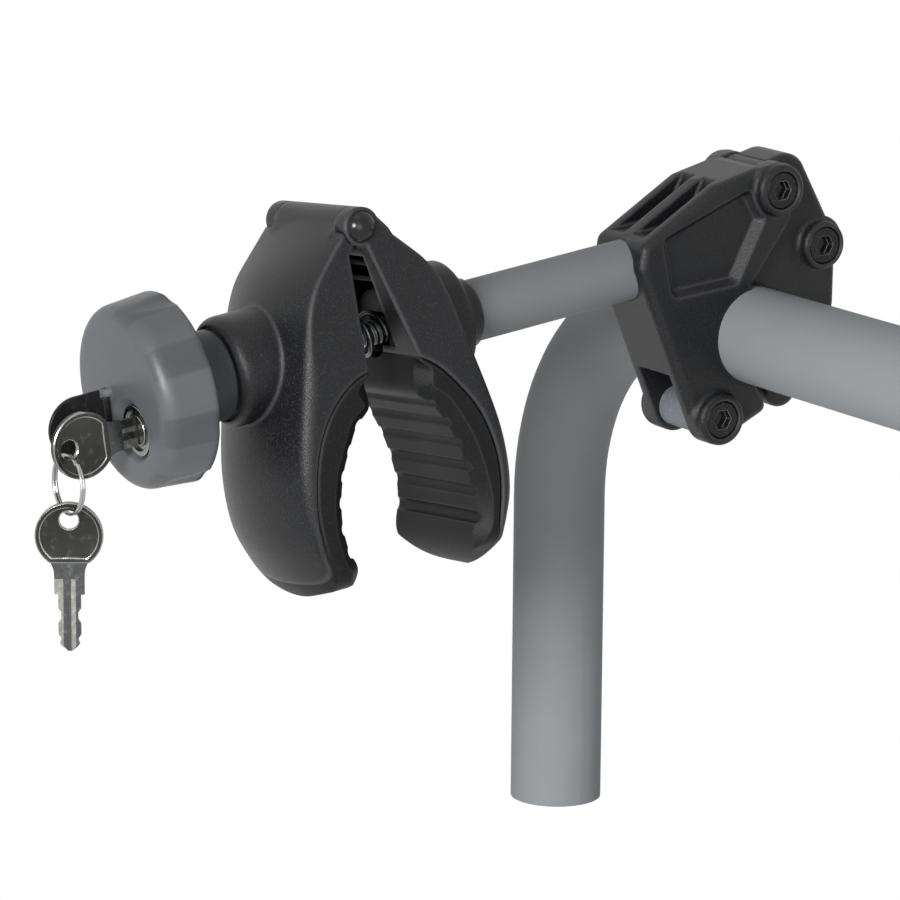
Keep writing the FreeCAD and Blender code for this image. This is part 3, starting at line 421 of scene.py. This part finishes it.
key_milled = skinned("key_milled", dark=(0.15, 0.148, 0.138), light=(0.26, 0.255, 0.24),
                     speck=(0.5, 0.5, 0.48), specks=0.3, grain=700.0, roughness=(0.30, 0.45),
                     bump=0.08, edge=0.0002, edge_wear_and_highlight=0.3, metallic=1.0)
key_flat_reflection = skinned("key_flat_reflection", dark=(0.060, 0.062, 0.064), light=(0.100, 0.102, 0.104),
                   speck=(0.35, 0.35, 0.34), specks=0.2, grain=500.0, roughness=(0.20, 0.32),
                   bump=0.06, edge=0.0002, edge_wear_and_highlight=0.5, metallic=1.0)
key_hole_a = -0.0050
dark_reflection_slot, rim_highlight_slot, milled_slot, flat_reflection_slot = range(4)


# a key lies along one direction with its width across it, and its faces look out
def key_blank(name, foot, along, across, out):
    head_r, hole_r, chord = 0.0105, 0.0029, 0.0086
    rim_half, field_half, groove_half = 0.0010, 0.0008, 0.00035
    slope_in, slope_out, rim_break = 0.0018, 0.0015, 0.0004
    edge_break, hole_break, blade_break = 0.0003, 0.00025, 0.0002
    made = bmesh.new()

    def vert(a, b, x):
        return made.verts.new(foot + a * along + b * across + x * out)

    # head: strips from the hole to the rim, the field sunk below the rim on both faces
    spokes = 96
    strips = []
    for i in range(spokes):
        angle = 2 * math.pi * (i + 0.5) / spokes
        da, db = math.cos(angle), math.sin(angle)
        reach = math.sqrt(head_r ** 2 - (key_hole_a * db) ** 2) - key_hole_a * da
        if da > 0:
            reach = min(reach, (chord - key_hole_a) / da)
        face = [(hole_r, field_half - hole_break), (hole_r + edge_break, field_half),
                (reach - slope_in, field_half), (reach - slope_out, rim_half),
                (reach - rim_break, rim_half), (reach, rim_half - edge_break)]
        section = face + [(t, -x) for t, x in reversed(face)]
        strips.append([vert(key_hole_a + t * da, t * db, x) for t, x in section])
    # the strips of a section that get the painted highlight: its broken edges, the slopes of the rim
    # and the hole
    highlight_strips = (0, 2, 4, 6, 8, 10, 11)
    for i, near in enumerate(strips):
        far = strips[(i + 1) % spokes]
        for k in range(len(near)):
            strip = made.faces.new((near[k - 1], near[k], far[k], far[k - 1]))
            strip.material_index = rim_highlight_slot if (k - 1) % len(near) in highlight_strips else dark_reflection_slot
    # neck and blade: half widths at stations from the head to the tip
    outline = [(0.0084, 0.0058), (0.0094, 0.0053), (0.0108, 0.0048), (0.0124, 0.00465),
               (0.0134, 0.00465), (0.0136, 0.00465), (0.0184, 0.00465), (0.01845, 0.0035),
               (0.0228, 0.0035), (0.0240, 0.0026), (0.0262, 0.0026), (0.0276, 0.0035),
               (0.0310, 0.0035), (0.0322, 0.0027), (0.0330, 0.0027), (0.0338, 0.0031),
               (0.0346, 0.0026), (0.0362, 0.0006)]
    milling_starts = 0.0135
    # one face across: a shelf along the lower edge, a rib, a groove and the upper rib
    steps = [(-0.0100, True), (-0.0019, True), (-0.0018, False), (0.0003, False), (0.0004, True),
             (0.0019, True), (0.0020, False), (0.0100, False)]
    stations = []
    for a, wide in outline:
        deep = groove_half if a > milling_starts else field_half
        top = [(max(-wide, min(wide, b)), deep if cut else field_half) for b, cut in steps]
        top = [(-wide, top[0][1] - blade_break)] + top + [(wide, top[-1][1] - blade_break)]
        low = [(-b, -x) for b, x in top]
        stations.append([vert(a, b, x) for b, x in top + low])
    count = len(stations[0])
    half = count // 2
    # the strips of a face that a cutter leaves: the shelf, the groove and the notched edge
    cutter_strips = (0, 1, 5, half - 1)
    for i, (near, far) in enumerate(zip(stations, stations[1:])):
        on_blade = outline[i + 1][0] > milling_starts
        for k in range(count):
            milled = on_blade and (k - 1) % half in cutter_strips
            strip = made.faces.new((near[k - 1], near[k], far[k], far[k - 1]))
            strip.material_index = milled_slot if milled else flat_reflection_slot
    made.faces.new(stations[0][::-1])
    made.faces.new(stations[-1])
    blank = piece(name, made, [key_dark_reflection, key_rim_highlight, key_milled, key_flat_reflection])
    smooth(blank, 32)
    return blank


# the keyway's mouth lies this far out from the middle of the plug's turning
lock_depth = 0.0185
lock_mouth = Vector(joints["lock_turn"]["pos_m"]) - lock_depth * back
lock_key = key_blank("lock_key_blank", lock_mouth, back, lift, side)
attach(lock_key, home["lock_key"])
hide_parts("lock_key")
spare_hole = Vector(joints["spare_swing"]["pos_m"])
spare_out = Vector(joints["spare_swing"]["axis"])
down = Vector((0, 0, -1))
spare_across = spare_out.cross(down)
spare_key = key_blank("spare_key_blank", spare_hole - key_hole_a * down, down, spare_across, spare_out)
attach(spare_key, home["spare_key"])
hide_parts("spare_key")

# Split ring: nickel-plated spring wire wound twice and pressed flat, so that its turns lie on
# each other. It joins the two keys.
ring_steel = skinned("ring_steel", dark=(0.34, 0.34, 0.34), light=(0.50, 0.50, 0.49),
                     speck=(0.9, 0.9, 0.88), specks=0.2, grain=700.0, roughness=(0.10, 0.20),
                     bump=0.03, edge=0.0002, metallic=1.0)
ring_middle = (Vector(joints["ring_swing"]["pos_m"]) + spare_hole) / 2
ring_radius, ring_wire, ring_turns, ring_end = 0.0092, 0.00048, 2, 0.9
ring_steps, ring_crossing = 192, 9
half_pitch = 0.98 * ring_wire
loops = []
for i in range(ring_steps + 1):
    t = i / ring_steps
    a = ring_turns * 2 * math.pi * t + ring_end
    step = max(-1.0, min(1.0, (t - 0.5) * ring_crossing)) * half_pitch
    loops.append(ring_middle + Vector((ring_radius * math.cos(a), step, ring_radius * math.sin(a))))
split_ring = wire("split_ring_wire", loops, ring_wire, ring_steel)
smooth(split_ring, 60)
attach(split_ring, home["split_ring"])
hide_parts("split_ring")

# Dust flap of the lock: a small glossy black lid on a pin of its own in the knob's face, swung
# open beside the key
flap_black = skinned("flap_black", dark=(0.008, 0.008, 0.0085), light=(0.014, 0.014, 0.015),
                     speck=(0.14, 0.14, 0.14), specks=0.1, grain=500.0, roughness=(0.12, 0.22),
                     bump=0.03, edge=0.0004, edge_wear_and_highlight=0.5, sheen=0.12)
finish(["lock_flap", "flap_pin"], flap_black)

# Photographer's set: the camera stands to the right of the arm and a little above it, with a
# long lens. A soft lamp stands at its left, a weaker and wider one at its right and a faint
# one overhead, in a white room.
scene = bpy.context.scene
scene.view_settings.view_transform = "Standard"
camera_azimuth = math.radians(58.10)
camera_elevation = math.radians(12.83)
camera_roll = math.radians(0.45)
camera_data = bpy.data.cameras.new("camera")
camera_data.lens = 195.2
camera_data.sensor_width = 36.0
camera_data.clip_start, camera_data.clip_end = 0.1, 20.0
camera = bpy.data.objects.new("camera", camera_data)
scene.collection.objects.link(camera)
camera.location = (1.3978, -0.9155, 0.5059)
away = Vector((math.sin(camera_azimuth) * math.cos(camera_elevation),
               -math.cos(camera_azimuth) * math.cos(camera_elevation), math.sin(camera_elevation)))
level = Vector((math.cos(camera_azimuth), math.sin(camera_azimuth), 0))
upright = away.cross(level)
right = math.cos(camera_roll) * level + math.sin(camera_roll) * upright
over = -math.sin(camera_roll) * level + math.cos(camera_roll) * upright
camera.rotation_euler = Matrix((right, over, away)).transposed().to_euler()
scene.camera = camera

aim = Vector((0.10, -0.10, 0.17))


# azimuth and elevation are in degrees, the azimuth from the knob's end towards the bar's end
def soft_lamp(name, azimuth, elevation, distance, width, height, watts):
    data = bpy.data.lights.new(name, "AREA")
    data.shape = "RECTANGLE"
    data.size, data.size_y, data.energy = width, height, watts
    lamp = bpy.data.objects.new(name, data)
    scene.collection.objects.link(lamp)
    a, e = math.radians(azimuth), math.radians(elevation)
    towards = Vector((math.sin(a) * math.cos(e), -math.cos(a) * math.cos(e), math.sin(e)))
    lamp.location = aim + distance * towards
    lamp.rotation_euler = towards.to_track_quat("Z", "Y").to_euler()


soft_lamp("key_softbox", 35, 16, 1.5, 0.32, 0.40, 23.0)
soft_lamp("fill_softbox", 68, 8, 1.5, 0.8, 0.8, 6.0)
soft_lamp("top_softbox", 50, 70, 1.4, 0.5, 0.5, 1.0)

world = bpy.data.worlds.new("white_room")
scene.world = world
world.use_nodes = True
room = world.node_tree
path = room.nodes.new("ShaderNodeLightPath")
seen = maths(room, "MAXIMUM", path.outputs["Is Camera Ray"], path.outputs["Is Transmission Ray"])
seen = maths(room, "MAXIMUM", seen, path.outputs["Is Glossy Ray"])
background = room.nodes["Background"]
background.inputs["Color"].default_value = (1, 1, 1, 1)
room_light, room_white = 0.15, 1.0
feed(room, spread(room, seen, 0.0, 1.0, room_light, room_white), background.inputs["Strength"])

floor_z, floor_half = -0.16, 6
floor_corners = [(-floor_half, -floor_half, floor_z), (floor_half, -floor_half, floor_z),
                 (floor_half, floor_half, floor_z), (-floor_half, floor_half, floor_z)]
floor_mesh = bpy.data.meshes.new("floor")
floor_mesh.from_pydata(floor_corners, [], [(0, 1, 2, 3)])
floor = bpy.data.objects.new("floor", floor_mesh)
scene.collection.objects.link(floor)
floor_paint = bpy.data.materials.new("white_floor")
floor_paint.use_nodes = True
tree = floor_paint.node_tree
tree.nodes.clear()
shade = tree.nodes.new("ShaderNodeBsdfDiffuse")
shade.inputs["Color"].default_value = (0.8, 0.8, 0.8, 1)
glow = tree.nodes.new("ShaderNodeEmission")
blend = tree.nodes.new("ShaderNodeMixShader")
path = tree.nodes.new("ShaderNodeLightPath")
seen = maths(tree, "MAXIMUM", path.outputs["Is Camera Ray"], path.outputs["Is Glossy Ray"])
feed(tree, seen, blend.inputs[0])
feed(tree, shade.outputs[0], blend.inputs[1])
feed(tree, glow.outputs[0], blend.inputs[2])
feed(tree, blend.outputs[0], tree.nodes.new("ShaderNodeOutputMaterial").inputs[0])
floor_mesh.materials.append(floor_paint)
